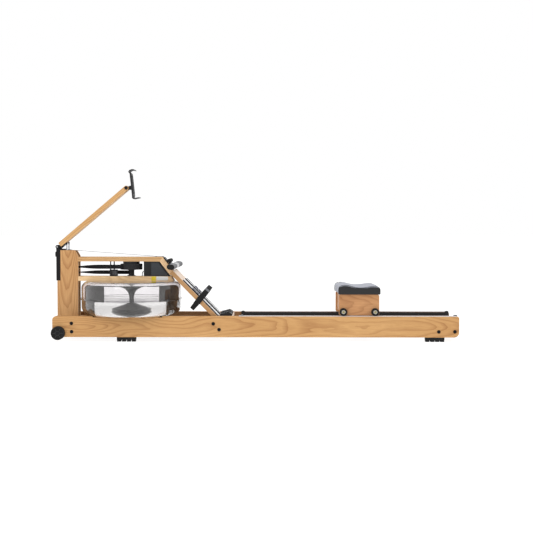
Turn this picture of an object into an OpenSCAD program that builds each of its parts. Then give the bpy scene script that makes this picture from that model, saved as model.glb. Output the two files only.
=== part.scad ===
// Water-resistance rowing machine with a wooden frame, a round clear tank and a tablet arm.
// X runs along the rails, from the tank (-X) to the rear end (+X); Y is across; Z is up.
// The rower faces -X, so the left side is -Y. The origin is on the floor under the middle.

/* [Side rails] */
// X of the front end of the rails
rail_x0 = -1042; // [-1050:1:-1035]
// X of the rear end of the rails
rail_x1 = 1055; // [1040:1:1060]
// Height of the rails' underside above the floor
rail_z = 23; // [18:1:26]
// Height of a rail board
rail_h = 108; // [104:1:112]
// Thickness of a rail board
rail_t = 34; // [30:1:36]
// Half of the clear width between the two rails
rail_in = 121; // [121:1:123]

/* [Head] */
// Half of the clear width between the paired boards of the head
head_in = 18; // [17:0.5:18]
// Thickness of each head board
head_t = 17; // [15:1:17]
// Height of the top of the posts
post_top = 468; // [466:1:469]
// X of the rear edge of the posts
post_x1 = -930; // [-932:1:-928]
// Height of the boards of the top rails
top_rail_h = 24; // [20:1:25]
// Height of the boards of the middle rails
mid_rail_h = 24.8; // [20:0.2:25]

/* [Water tank] */
// X of the tank's vertical axis
tank_x = -654; // [-656:1:-652]
// Outer radius of the tank
tank_r = 261; // [255:1:262]
// Underside of the tank
tank_z0 = 125; // [125:0.5:126]
// Top of the tank
tank_z1 = 306; // [300:1:306]
// Wall thickness of the clear shells
tank_wall = 4; // [3:0.5:5]
// Height of the seam between the two shells
seam_z = 214; // [208:1:220]

/* [Footboard] */
// Angle of the footboard to the floor
foot_angle = 45.6; // [45:0.1:46]
// Width of the footboard
foot_w = 220; // [210:1:220]
// Thickness of the footboard
foot_t = 22; // [18:1:22]

/* [Seat] */
// X of the middle of the seat as parked
seat_x = 541.5; // [300:0.5:700]
// Distance between the front and rear wheel axles
wheel_base = 164; // [150:1:170]
// Radius of a seat wheel
seat_wheel_r = 19.7; // [19:0.1:19.7]
// Length of the seat pad
pad_len = 220; // [210:1:230]
// Width of the seat pad
pad_w = 300; // [280:1:310]

/* [Tablet arm] */
// Angle of the arm above the horizontal as it rests on its stops
arm_angle = 40.4; // [40.2:0.1:40.6]
// Distance from the arm's hinge pin to the holder's bolt
arm_len = 478; // [420:1:480]
// Depth of the wooden arm
arm_d = 24; // [22:1:24]
// Half of the arm's width
arm_half = 32; // [28:1:32]
// Lean of the tablet plate away from the vertical
plate_lean = 6; // [3:0.5:8]

/* [Hidden] */
$fn = 64;

oak = "burlywood";
black = "dimgray";
eps = 0.01;
fit = 0.05;        // radial running clearance of a shaft in its hole
gap = 0.4;         // room left between pieces that move past each other

// Rails and the seat's running gear
rail_out = rail_in + rail_t;
rail_top = rail_z + rail_h;
strip_t = 2;
track_x0 = -74;
track_x1 = 1050;
stop_len = 18;
foot_xs = [-661, 931];
foot_size = [97, 34, rail_z];
transport = [-1010, 45];
transport_r = 35;
transport_w = 24;
transport_axle_r = 6;
bolt_r = 4;
bolt_head_r = 9;
front_bolts = [[-943, 94], [-942, 51]];
rear_bolts = [[950, 52.5], [1033, 53]];
cleat_bolts = [[9.6, -39], [52, -39]];    // along and below the footboard

// Head: underside and top of the top rails and of the middle rails
head_out = head_in + head_t;
top_rail_z = [433 - top_rail_h, 433];
mid_rail_z = [331 - mid_rail_h, 331];
post_x0 = -1040;
recess_x = -1023;
recess_z = 308.5;
slope_top = [-485, 433];
slope_end = [-429.4, 361.8];
slope_foot = [-441, 350.4];

// Straps and pulleys: [x, z] of each axis
pull_pulley = [-981, 424.5];
pull_pulley_r = 43.6;
rec_pulley = [-965, 326];
rec_pulley_r = 24;
pulley_pin_r = 5;
pulley_pin_y = head_out - 5;             // the pins end inside the posts
strap_w = 22;
strap_t = 2;
rec_strap_w = 20;
strap_gap = 0.3;
drum_r = 38;
reel_r = 15;
shaft_r = 8;
drum_z = [369, 394];
reel_z = [333.5, 366];
reel_flange_r = 21.5;
housing_z = [366, 396];
housing_r = 58;
cap_r = 43.5;
drum_strap_z = 381.5;
drum_flange = 1;
reel_strap_z = 350;
bungee_r = 4;
bungee_x = rec_pulley[0] - rec_pulley_r - strap_gap - strap_t / 2;
bungee_z = 76;
bungee_bend = 30;
bungee_top = 180;
bungee_end = -224;
guide_bars = [[-524, 428.7], [-488, 428.7]];
guide_bar_r = 6;
guide_z = 366;                            // top of the block that carries the strap guide
pull_route = [[-981, 469.4], [-524, 436.2], [-485.5, 436.2], [-440.6, 398.5]];

// Sensor lead: rises from the tank's top and bends into the cover
lead_r = 2.2;
lead_bend = 10;
lead_x = -597;
lead_z = 355;

// Footboard: [x, z] of its lower reference point; the local x axis runs down the slope
foot_ref = [-191, 127];
foot_up = 334;
foot_down = 35;
plate_up = 261;
plate_t = 5;
plate_y = [8, 103];
inner_rim = [5, 4.5];        // width and height of the rim beside the middle
outer_rim = [4, 1];          // width and height of the rim at the outer edge
strap_mid = -129.5;
strap_band_w = 30;
strap_tilt = 6.5;
buckle = [46, 26, 7];
buckle_at = [-196, 70];
heel_top = 128.5;

// Handle
handle = [-423, 388];
handle_half = 250;
handle_size = [38, 27];
handle_grip_y = 70;
handle_roll = 10;
eye_angle = 38;
peg = [-449, 414];
peg_r = 10;

// Tablet arm
arm_pin = [-1040, 485.5];
arm_pin_r = 4;
arm_start = 17;
arm_notch = [180, 252];
holder_pin_r = 4;
plate_x = 26.4;              // from the holder's bolt to the back of the plate
spigot_r = 9;

// Seat
panel_t = 18;
panel_out = 128;
seat_box_len = 208;
seat_box_z = [134.5, 243];
wheel_z = rail_top + strip_t + 0.3 + seat_wheel_r;
wheel_y = [130, 149];
seat_axle_r = 4;
pad_rise = [48, 35, 42];                  // height of the front hump, the dip and the rear hump

// ---- shared shapes ----

// Extrudes a profile drawn in X and Z from y0 to y1
module across(y0, y1)
    translate([0, y1, 0]) rotate([90, 0, 0]) linear_extrude(y1 - y0) children();

// A rod along Y whose axis passes through [x, z]
module rod(at, r, y0, y1)
    translate([at[0], y1, at[1]]) rotate([90, 0, 0]) cylinder(r = r, h = y1 - y0);

// A thing and its mirror image on the other side of the machine
module both() {
    children();
    mirror([0, 1, 0]) children();
}

// The waste outside one rounded corner, for a corner at the origin of the first quadrant
module corner_waste(r)
    difference() {
        translate([-1, -1]) square(r + 1);
        translate([r, r]) circle(r);
    }

// Rectangle with its own radius at each corner: low-left, low-right, top-right, top-left
module round_rect(x0, z0, x1, z1, r)
    difference() {
        translate([x0, z0]) square([x1 - x0, z1 - z0]);
        if (r[0] > 0) translate([x0, z0]) corner_waste(r[0]);
        if (r[1] > 0) translate([x1, z0]) mirror([1, 0]) corner_waste(r[1]);
        if (r[2] > 0) translate([x1, z1]) mirror([1, 0]) mirror([0, 1]) corner_waste(r[2]);
        if (r[3] > 0) translate([x0, z1]) mirror([0, 1]) corner_waste(r[3]);
    }

// Places children on the footboard: x down the slope, z out of its face
module on_footboard()
    translate([foot_ref[0], 0, foot_ref[1]]) rotate([0, foot_angle, 0]) children();

// Places children on the tablet arm: x from the hinge pin towards the holder, z upwards
module on_arm()
    translate([arm_pin[0], 0, arm_pin[1]]) rotate([0, -arm_angle, 0]) children();

// Places children on the tablet plate: z up the plate, x out of its face, at the holder's bolt
module on_plate()
    translate([arm_pin[0] + arm_len * cos(arm_angle), 0, arm_pin[1] + arm_len * sin(arm_angle)])
        rotate([0, -plate_lean, 0]) children();

// A flat band that turns by a quarter as it runs from a to b; it lies flat at a
twist_end = 0.62;
function ease(u) = u * u * (3 - 2 * u);
function turn_at(t) = 90 * ease(min(1, t / twist_end));
function band_ring(a, b, w, th, t) =
    let (d = (b - a) / norm(b - a), side = [-d[1], d[0], 0], c = a + t * (b - a),
         f = turn_at(t), wide = cos(f) * side + [0, 0, sin(f)], thick = cross(d, wide))
    [for (k = [[-1, -1], [1, -1], [1, 1], [-1, 1]]) c + k[0] * wide * w / 2 + k[1] * thick * th / 2];
module turning_band(a, b, w, th, steps = 18)
    polyhedron(
        points = [for (i = [0:steps]) each band_ring(a, b, w, th, i / steps)],
        faces = concat([[0, 1, 2, 3]],
            [for (i = [0:steps - 1], k = [0:3], half = [0, 1])
                let (a = 4 * i + k, d = 4 * i + (k + 1) % 4)
                // both broad faces are split along the same diagonal
                k < 2 ? (half == 0 ? [a, a + 4, d + 4] : [a, d + 4, d])
                      : (half == 0 ? [a, a + 4, d] : [a + 4, d + 4, d])],
            [[for (k = [3:-1:0]) 4 * steps + k]]));

// ---- frame ----

module rail_bolt_holes()
    for (p = concat(front_bolts, rear_bolts)) rod(p, bolt_r + 0.2, rail_in - 1, rail_out + 1);

module cleat_bolt_holes(y0, y1)
    on_footboard() for (p = cleat_bolts) rod(p, bolt_r + 0.2, y0, y1);

// The rail on the +Y side; the other is its mirror image
module rail()
    difference() {
        across(rail_in, rail_out) round_rect(rail_x0, rail_z, rail_x1, rail_top, [8, 26, 11, 20]);
        translate([tank_x, 0, tank_z0]) cylinder(r = tank_r - 24, h = 20, $fn = 128);
        rail_bolt_holes();
        cleat_bolt_holes(rail_in - 1, rail_out + 1);
        rod(transport, transport_axle_r + 0.2, rail_in - 1, rail_out + 1);
    }
module right_rail() color(oak) rail();
module left_rail() color(oak) mirror([0, 1, 0]) rail();

module running_strips()
    color("gainsboro") both()
        translate([track_x0 - 7, rail_in + 7, rail_top]) cube([1125, rail_t - 9, strip_t]);

module seat_tracks()
    color(black) both()
        translate([track_x0 + stop_len, rail_in - 8, rail_top - 18])
            cube([track_x1 - track_x0 - 2 * stop_len, 8, 17]);

module track_stops()
    color(black) both() for (x = [track_x0, track_x1 - stop_len]) {
        across(rail_in - 9, rail_in) round_rect(x, 112, x + stop_len, 136.5, [3, 3, 3, 3]);
        translate([x, rail_in - eps, rail_top]) cube([stop_len, 5, 4]);
    }

module front_posts()
    color(oak) both() difference() {
        across(head_in, head_out) polygon([[post_x0, 30], [post_x1, 30], [post_x1, 439],
            [post_x1 - 17, post_top], [recess_x, post_top], [recess_x, recess_z],
            [post_x0, recess_z]]);
        for (p = [pull_pulley, rec_pulley])
            rod(p, pulley_pin_r + 0.1, head_in - 1, pulley_pin_y + 0.1);
    }

module top_rails()
    color(oak) both() across(head_in, head_out)
        polygon([[post_x1, top_rail_z[0]], [-501, top_rail_z[0]], [slope_top[0], top_rail_z[1]],
                 [post_x1, top_rail_z[1]]]);

module mid_rails()
    color(oak) both() across(head_in, head_out)
        polygon([[post_x1, mid_rail_z[0]], [-426, mid_rail_z[0]], [-441, mid_rail_z[1]],
                 [post_x1, mid_rail_z[1]]]);

// The sloping boards at the rear of the head, cut off level with the middle rails
module slope_boards()
    color(oak) both() across(head_in, head_out)
        polygon([slope_top, slope_end, slope_foot, [-441.2, mid_rail_z[1]],
                 [-441.7, mid_rail_z[1]], [-501, top_rail_z[0]]]);

module cross_boards()
    color(oak) {
        both() difference() {
            translate([-975, head_out, 36]) cube([60, rail_in - head_out, 76]);
            for (p = front_bolts) rod(p, bolt_r + 0.2, head_out + 40, rail_in + 1);
        }
        translate([tank_x - 45, -rail_in, 101]) cube([90, 2 * rail_in, tank_z0 - 101]);
        difference() {
            translate([930, -rail_in, 36]) cube([120, 2 * rail_in, 34]);
            both() for (p = rear_bolts) rod(p, bolt_r + 0.2, rail_in - 45, rail_in + 1);
        }
    }

module footboard()
    color("wheat") on_footboard()
        translate([-foot_up, -foot_w / 2, -foot_t]) cube([foot_up + foot_down, foot_w, foot_t]);

module footboard_cleat()
    color(oak) difference() {
        on_footboard() translate([-15, -rail_in, -foot_t - 34]) cube([90, 2 * rail_in, 34]);
        both() cleat_bolt_holes(rail_in - 45, rail_in + 1);
    }

module heel_shelf()
    color("wheat") translate([-170, -rail_in, heel_top - 16]) cube([58, 2 * rail_in, 16]);

// A round-headed bolt seen from outside, with its head on the plane y
module bolt(at, y) {
    rod(at, bolt_r, y - 60, y + eps);
    rod(at, bolt_head_r, y, y + 2);
    rod(at, bolt_head_r - 2.5, y + 2, y + 3.4);
}
module frame_bolts()
    color("black") {
        both() {
            for (p = concat(front_bolts, rear_bolts)) bolt(p, rail_out);
            on_footboard() for (p = cleat_bolts) bolt(p, rail_out);
        }
        // the bolt that holds the arm bracket to the posts
        translate([-1055, 0, 446]) rotate([0, 90, 0]) {
            cylinder(r = 14, h = 9);
            cylinder(r = 5, h = 28);
        }
    }

module rubber_feet()
    color("black") both() for (x = foot_xs)
        translate([x - foot_size[0] / 2, rail_in, 0]) {
            translate([0, 0, 9]) cube([foot_size[0], foot_size[1], foot_size[2] - 9]);
            for (i = [0:3]) translate([1 + i * 25.33, 1, 0]) cube([19, foot_size[1] - 2, 10]);
        }

module axle_pins()
    color("silver") {
        both() {
            rod(transport, transport_axle_r, rail_in + 2, rail_out + transport_w + 4);
            rod(transport, transport_axle_r + 4, rail_out + transport_w + 2,
                rail_out + transport_w + 5);
        }
        for (p = [pull_pulley, rec_pulley]) rod(p, pulley_pin_r, -pulley_pin_y, pulley_pin_y);
        rod(arm_pin, arm_pin_r, -head_out, head_out);
    }

// ---- tank ----

// Half of the tank's section: radius, floor, top, and the corner radii at floor and top
module tank_half(r, z0, z1, rb, rt)
    intersection() {
        round_rect(-r, z0, r, z1, [rb, rb, rt, rt]);
        translate([0, z0 - 1]) square([r + 1, z1 - z0 + 2]);
    }
module tank_skin()
    difference() {
        tank_half(tank_r, tank_z0, tank_z1, 50, 36);
        tank_half(tank_r - tank_wall, tank_z0 + tank_wall, tank_z1 - tank_wall,
                  50 - tank_wall, 36 - tank_wall);
    }
seal = [tank_r + 0.5, tank_r + 3];        // inner and outer radius of the seal
module seal_groove() translate([seal[0], seam_z - 1]) square([seal[1] - seal[0], 2]);

module tank_lower_shell()
    color("lightblue", 0.4) translate([tank_x, 0, 0]) rotate_extrude($fn = 160) difference() {
        union() {
            intersection() {
                tank_skin();
                square([tank_r + 10, seam_z]);
            }
            translate([tank_r - tank_wall, seam_z - 4]) square([tank_wall + 5, 4]);
        }
        seal_groove();
    }

module tank_upper_shell()
    color("lightblue", 0.4) translate([tank_x, 0, 0]) difference() {
        rotate_extrude($fn = 160) difference() {
            union() {
                intersection() {
                    tank_skin();
                    translate([0, seam_z]) square([tank_r + 10, tank_z1]);
                }
                translate([tank_r - tank_wall, seam_z]) square([tank_wall + 5, 4]);
            }
            seal_groove();
        }
        translate([0, 0, tank_z1 - 20]) cylinder(r = 16, h = 40);
        translate([-40, 140, tank_z1 - 20]) cylinder(r = 22, h = 40);
    }

module tank_seal_ring()
    color("black") translate([tank_x, 0, 0]) rotate_extrude($fn = 160)
        translate([seal[0] + 0.1, seam_z - 0.9]) square([seal[1] - seal[0] - 0.2, 1.8]);

module tank_fill_plug()
    color("black") translate([tank_x - 40, 140, 0]) {
        translate([0, 0, tank_z1]) cylinder(r = 27, h = 5);
        translate([0, 0, tank_z1 - 8]) cylinder(r = 21.8, h = 9);
        translate([-12, -3, tank_z1 + 5 - eps]) cube([24, 6, 5]);
    }

module shaft_bearings()
    color("dimgray") translate([tank_x, 0, 0]) {
        difference() {
            translate([0, 0, tank_z1 - 10]) cylinder(r = 15.9, h = 16);
            translate([0, 0, tank_z1 - 20]) cylinder(r = shaft_r + fit, h = 40);
        }
        difference() {
            translate([0, 0, tank_z0 + tank_wall]) cylinder(r = 18, h = 6);
            translate([0, 0, tank_z0 + tank_wall + 1.5]) cylinder(r = shaft_r + fit, h = 10);
        }
    }

// The rotor's hub, an hourglass: a wide flare above and a diamond under the water
hub_up = [for (a = [0:9:90]) [85 - 73 * cos(a), 215 + 66 * sin(a)]];
rotor_top = 285;
hub_low = [[80, 164], [58, 151.5], [34, 141.5], [14, 136]];
module rotor()
    color("slategray") translate([tank_x, 0, 0]) {
        rotate_extrude() polygon(concat([[shaft_r, rotor_top], [85, rotor_top]],
            [for (i = [10:-1:0]) hub_up[i]], [[14, 194], [22, 189]], hub_low, [[shaft_r, 136]]));
        for (s = [0, 180]) rotate([0, 0, s]) {
            across(-2.5, 2.5) round_rect(146, 137, 250, rotor_top, [6, 44, 22, 2]);
            across(-2.5, 2.5) translate([80, rotor_top - 7]) square([70, 7]);
        }
    }

module rotor_shaft()
    color("silver") translate([tank_x, 0, tank_z0 + tank_wall + 2])
        cylinder(r = shaft_r, h = 402 - tank_z0 - tank_wall - 2);

// ---- drive ----

// Drum for the drive strap above, reel for the recoil strap below, turned in one piece
module strap_drum()
    color("black") translate([tank_x, 0, 0]) difference() {
        union() {
            translate([0, 0, drum_z[0]]) cylinder(r = drum_r, h = drum_z[1] - drum_z[0]);
            for (z = [drum_z[0], drum_z[1] - drum_flange])
                translate([0, 0, z]) cylinder(r = drum_r + 12, h = drum_flange);
            translate([0, 0, reel_z[0]]) cylinder(r = reel_r, h = drum_z[0] - reel_z[0] + 1);
            for (z = [reel_z[0], reel_z[1] - 3]) translate([0, 0, z]) cylinder(r = reel_flange_r, h = 2.4);
        }
        translate([0, 0, 300]) cylinder(r = shaft_r + fit, h = 120);
    }

// The fixed cover over the drum; it hangs from the top rails and is open below and in front
module clutch_housing()
    color("black") translate([tank_x, 0, 0]) difference() {
        union() {
            translate([0, 0, housing_z[0]]) cylinder(r = housing_r, h = housing_z[1] - housing_z[0]);
            translate([0, 0, housing_z[1] - 1]) cylinder(r = cap_r, h = top_rail_z[0] - housing_z[1] + 1);
        }
        translate([0, 0, housing_z[0] + 2]) cylinder(r = housing_r - 3, h = 27);
        translate([0, 0, housing_z[0] - 1]) cylinder(r = 24, h = 10);
        translate([0, 0, housing_z[0] + 20]) cylinder(r = shaft_r + 3, h = 18);
        translate([-housing_r - 1, -drum_r - 8, drum_strap_z - 13.4])
            cube([housing_r, 18, 26.6]);
    }

module pulley(at, r, flange, half, bore)
    difference() {
        union() {
            rod(at, r, -half, half);
            rod(at, flange, half - 1.6, half);
            rod(at, flange, -half, -half + 1.6);
        }
        rod(at, bore, -half - 1, half + 1);
    }
module front_pulley()
    color("gray") pulley(pull_pulley, pull_pulley_r, pull_pulley_r + 3, 15.2, pulley_pin_r + fit);
module recoil_pulley()
    color("gray") pulley(rec_pulley, rec_pulley_r, rec_pulley_r + 3, 12.8, pulley_pin_r + fit);

// A strap laid round a pulley from angle a0 to a1, counted from +X towards +Z
module wrapped(at, r, w, a0, a1)
    translate([at[0], 0, at[1]]) rotate([90, 0, 0]) rotate([0, 0, a0])
        rotate_extrude(angle = a1 - a0, $fn = 96) translate([r, -w / 2]) square([strap_t, w]);

module drive_strap()
    color("black") {
        wrapped(pull_pulley, pull_pulley_r + strap_gap, strap_w, 90, 270);
        turning_band([pull_pulley[0], 0, pull_pulley[1] - pull_pulley_r - strap_gap - strap_t / 2],
                     [tank_x - 5, -drum_r - strap_t / 2 - 0.6, drum_strap_z], strap_w, strap_t);
    }

module recoil_strap()
    color("black") {
        wrapped(rec_pulley, rec_pulley_r + strap_gap, rec_strap_w, 90, 180);
        turning_band([rec_pulley[0], 0, rec_pulley[1] + rec_pulley_r + strap_gap + strap_t / 2],
                     [tank_x - 1, reel_r + strap_t / 2 + 0.6, reel_strap_z], rec_strap_w, strap_t);
        translate([bungee_x - strap_t / 2, -rec_strap_w / 2, bungee_top])
            cube([strap_t, rec_strap_w, rec_pulley[1] - bungee_top]);
    }

module bungee_cord()
    color("black") {
        translate([bungee_x, 0, bungee_z + bungee_bend])
            cylinder(r = bungee_r, h = bungee_top - bungee_z - bungee_bend);
        translate([bungee_x + bungee_bend, 0, bungee_z + bungee_bend]) rotate([90, 0, 0])
            rotate([0, 0, 180]) rotate_extrude(angle = 90) translate([bungee_bend, 0]) circle(bungee_r);
        translate([bungee_x + bungee_bend, 0, bungee_z]) rotate([0, 90, 0])
            cylinder(r = bungee_r, h = bungee_end - bungee_x - bungee_bend);
    }

module pull_strap()
    color("gainsboro") across(-strap_w / 2, strap_w / 2)
        polygon(concat([for (p = pull_route) p + [0, strap_t / 2]],
                       [for (i = [3:-1:0]) pull_route[i] - [0, strap_t / 2]]));

module strap_guide()
    color("black") {
        translate([-764, -head_out, mid_rail_z[1]]) cube([41, head_t, guide_z - mid_rail_z[1]]);
        for (p = [[-759, -32.3], [-742, -21.5]])
            translate([p[0], p[1], guide_z - eps]) cylinder(r = 3.4, h = top_rail_z[0] - guide_z);
        for (p = guide_bars) rod(p, guide_bar_r, -head_in, head_in);
        // the fixed drum that the recoil cord bends round
        rod([bungee_x + bungee_bend, bungee_z + bungee_bend], bungee_bend - bungee_r - 0.3,
            -head_in, head_in);
    }

// ---- head fittings ----

cover_outline = [[-585, 331.2], [-446, 331.2], [-507, 408.8], [-585, 408.8]];
cover_panel = [[-547, 334], [-457, 334], [-510, 404], [-547, 404]];
cover_inside = [[-581, 335], [-455, 335], [-509, 405], [-581, 405]];
module window_cover()
    color("black") difference() {
        across(-31, 31) polygon(cover_outline);
        across(-26, 26) polygon(cover_inside);
        both() across(29, 32) polygon(cover_panel);
    }

// Slim display unit lying on the slope of the head, with a channel under the strap
console_tilt = atan2(slope_top[1] - slope_end[1], slope_end[0] - slope_top[0]);
module console()
    color("black") translate([slope_top[0], 0, slope_top[1]]) rotate([0, console_tilt, 0])
        difference() {
            linear_extrude(6) round_rect(6, -37, 40, 37, [5, 5, 5, 5]);
            translate([5, -strap_w / 2 - 1.6, 1.5]) cube([36, strap_w + 3.2, 10]);
        }

// Lead from the speed sensor on the tank to the display
module sensor_lead()
    color("black") {
        translate([lead_x, 0, tank_z1]) cylinder(r = lead_r, h = lead_z - lead_bend - tank_z1);
        translate([lead_x + lead_bend, 0, lead_z - lead_bend]) rotate([90, 0, 0])
            rotate([0, 0, 90]) rotate_extrude(angle = 90) translate([lead_bend, 0]) circle(lead_r);
        translate([lead_x + lead_bend, 0, lead_z]) rotate([0, 90, 0])
            cylinder(r = lead_r, h = cover_outline[0][0] - lead_x - lead_bend);
    }

// Two pegs with feet on the sloping boards; the strap runs between them
module handle_rest()
    color("black") both() {
        rod(peg, peg_r, 14.5, 60);
        across(head_in + 1, head_out - 1)
            polygon([[-452, 390.8], [-447, 384.4], [-442.5, 388], [-443, 398], [-444, 414], [-454, 414]]);
    }

// ---- footboard fittings ----

module foot_plates()
    color("silver") both() on_footboard() translate([-plate_up, 0, 0]) {
        translate([0, plate_y[0], 0]) cube([plate_up, plate_y[1] - plate_y[0], plate_t]);
        translate([0, plate_y[0], 0]) cube([plate_up, inner_rim[0], plate_t + inner_rim[1]]);
        translate([0, plate_y[1] - outer_rim[0], 0])
            cube([plate_up, outer_rim[0], plate_t + outer_rim[1]]);
    }

// The webbing loop over one foot: a round arch whose outer end hangs past the board
arch_c = [62, 13];
arch = [51, 54];
band_t = 3;
rim_z = plate_t + inner_rim[1] + 1.8;    // the tilted end of the loop stands on the rim
function arch_pt(grow, a) = arch_c + [(arch[0] + grow) * cos(a), (arch[1] + grow) * sin(a)];
module foot_straps()
    color("black") both() on_footboard()
        translate([strap_mid, 0, 0]) rotate([0, -strap_tilt, 0])
            translate([strap_band_w / 2, 0, 0]) rotate([90, 0, -90])
                linear_extrude(strap_band_w) mirror([1, 0]) polygon(concat(
                    [[arch_c[0] + arch[0] + band_t, -70], [arch_c[0] + arch[0], -70]],
                    [for (a = [0:6:180]) arch_pt(0, a)],
                    [[arch_c[0] - arch[0], rim_z], [arch_c[0] - arch[0] - band_t, rim_z]],
                    [for (a = [180:-6:0]) arch_pt(band_t, a)]));

module strap_buckles()
    color("silver") both() on_footboard()
        translate([buckle_at[0], buckle_at[1], plate_t]) difference() {
            cube(buckle);
            translate([-1, 4, 2]) cube([buckle[0] + 2, buckle[1] - 8, 2.5]);
            translate([buckle[0] / 2 - 2, -1, 3]) cube([6, buckle[1] + 2, 5]);
        }

// One heel cup: a ribbed wedge that rises to a lip behind the heel
heel_profile = [[-180, heel_top + 0.5], [-118, heel_top + 0.5], [-118, 138], [-135, 149],
                [-158, 143], [-180, 138]];
module heel_cup()
    color("black") difference() {
        across(plate_y[0] + inner_rim[0] + 1, plate_y[1] - 1) polygon(heel_profile);
        for (i = [0:6]) translate([-185, 19 + i * 12, 138]) cube([58, 6, 20]);
    }
module left_heel_cup() mirror([0, 1, 0]) heel_cup();
module right_heel_cup() heel_cup();

// ---- handle ----

// Oval section of the handle, a and b across, nearly level
module handle_oval(a, b)
    translate(handle) rotate(-handle_roll)
        round_rect(-a / 2, -b / 2, a / 2, b / 2, [for (i = [1:4]) b / 2 - 0.5]);
module handle_bar()
    color("silver") {
        across(-handle_grip_y, handle_grip_y) handle_oval(34, 25);
        // the eye that the strap is sewn to
        translate([handle[0], 0, handle[1]]) rotate([0, eye_angle, 0])
            translate([-19.2, -10, -3]) cube([4, 20, 6]);
    }
module handle_grips()
    color("black") both()
        across(handle_grip_y, handle_half) handle_oval(handle_size[0], handle_size[1]);

// ---- tablet arm ----

// Channel on the front of the posts that carries the arm's hinge pin
bracket_x = -1045;
module arm_bracket()
    color("black") difference() {
        union() {
            across(-head_out, head_out) round_rect(recess_x - 4, recess_z, recess_x, post_top, [0, 0, 0, 0]);
            both() across(head_out - 4, head_out) union() {
                translate([bracket_x, recess_z]) square([recess_x - bracket_x, 165]);
                translate([bracket_x, recess_z + 160]) square([15, arm_pin[1] - recess_z - 160]);
                translate(arm_pin) circle(8);
            }
            // the lip that hooks over the posts
            translate([recess_x - 1, -head_out, post_top]) cube([18, 2 * head_out, 7]);
            translate([recess_x - 1, -head_out, post_top - 1]) cube([1, 2 * head_out, 2]);
        }
        rod(arm_pin, arm_pin_r + 0.1, -50, 50);
        // room for the front pulley between the posts
        rod(pull_pulley, pull_pulley_r + 4.4, -16.4, 16.4);
        translate([-1060, 0, 446]) rotate([0, 90, 0]) cylinder(r = 5.2, h = 50);
    }

stop_pos = [-990, 27];
stop_top = 505.2;
module arm_stops()
    color("silver") both() translate([stop_pos[0], stop_pos[1], 0]) {
        translate([0, 0, post_top]) cylinder(r = 3, h = stop_top - post_top);
        translate([0, 0, stop_top]) sphere(5);
        translate([0, 0, post_top]) cylinder(r = 5, h = 3);
    }

// Leaf and knuckle that join the arm to the hinge pin
module arm_hinge()
    color("black") difference() {
        on_arm() {
            rod([0, 0], 10, -head_out + 5, head_out - 5);
            translate([0, -26, -arm_d / 2 - 4]) cube([42, 52, 4]);
            translate([0, -26, -arm_d / 2 - 4]) cube([arm_start - 1, 52, 12]);
        }
        rod(arm_pin, arm_pin_r + fit, -50, 50);
    }

module tablet_arm()
    color(oak) on_arm() difference() {
        union() {
            across(-arm_half, arm_half) translate([arm_start, -arm_d / 2])
                square([arm_len - arm_start, arm_d]);
            rod([arm_len, 0], arm_d / 2, -arm_half, arm_half);
        }
        translate([arm_len - 17, -8.4, -30]) cube([60, 16.8, 60]);
        translate([arm_notch[0], -arm_half + 8, -arm_d / 2 - 1])
            cube([arm_notch[1] - arm_notch[0], 2 * arm_half - 16, 7]);
        rod([arm_len, 0], holder_pin_r + 0.1, -50, 50);
    }

module holder_bolt()
    color("black") on_arm() {
        rod([arm_len, 0], holder_pin_r, -arm_half, arm_half + 2);
        both() rod([arm_len, 0], 9, arm_half, arm_half + 3);
    }

// Clevis block between the arm and the plate
module holder_block()
    color("black") on_plate() difference() {
        union() {
            rod([0, 0], 10, -8, 8);
            translate([0, -8, -8]) cube([16, 16, 16]);
            translate([14, -14, -10.5]) cube([12, 28, 21]);
            // the spigot that the plate turns on
            translate([25, 0, 0]) rotate([0, 90, 0]) cylinder(r = spigot_r, h = plate_x - 25 + 1.2);
        }
        rod([0, 0], holder_pin_r + fit, -20, 20);
    }

plate_thick = 7.6;
plate_z = [-44, 71];
plate_half = 35;
module holder_plate()
    color("black") on_plate() difference() {
        union() {
            translate([plate_x, -plate_half, plate_z[0]])
                cube([plate_thick, 2 * plate_half, plate_z[1] - plate_z[0]]);
            across(-plate_half, plate_half) polygon([[plate_x, plate_z[0]], [plate_x - 1, plate_z[0] - 12],
                [plate_x + 6, plate_z[0] - 18], [plate_x + 36, plate_z[0] - 15],
                [plate_x + 36, plate_z[0] - 11], [plate_x + 8, plate_z[0] - 12.5],
                [plate_x + 4.5, plate_z[0] - 8], [plate_x + plate_thick, plate_z[0]]]);
        }
        // channel in which the sliding jaw runs
        translate([plate_x + 2.6, -12.4, -32]) cube([3.6, 24.8, 122]);
        translate([plate_x - 1, 0, 0]) rotate([0, 90, 0]) cylinder(r = spigot_r + fit, h = 2.4);
    }

module holder_jaw()
    color("black") on_plate() {
        translate([plate_x + 3, -12, -30]) cube([2.8, 24, 106]);
        across(-plate_half, plate_half) polygon([[plate_x, plate_z[1] + 1], [plate_x - 6, plate_z[1] + 12],
            [plate_x, plate_z[1] + 20], [plate_x + 14, plate_z[1] + 24], [plate_x + 24, plate_z[1] + 22],
            [plate_x + 30, plate_z[1] + 16], [plate_x + 27, plate_z[1] + 15],
            [plate_x + 14, plate_z[1] + 19], [plate_x + 3, plate_z[1] + 15],
            [plate_x - 1, plate_z[1] + 11], [plate_x + plate_thick, plate_z[1] + 1]]);
    }

// ---- seat ----

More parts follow.
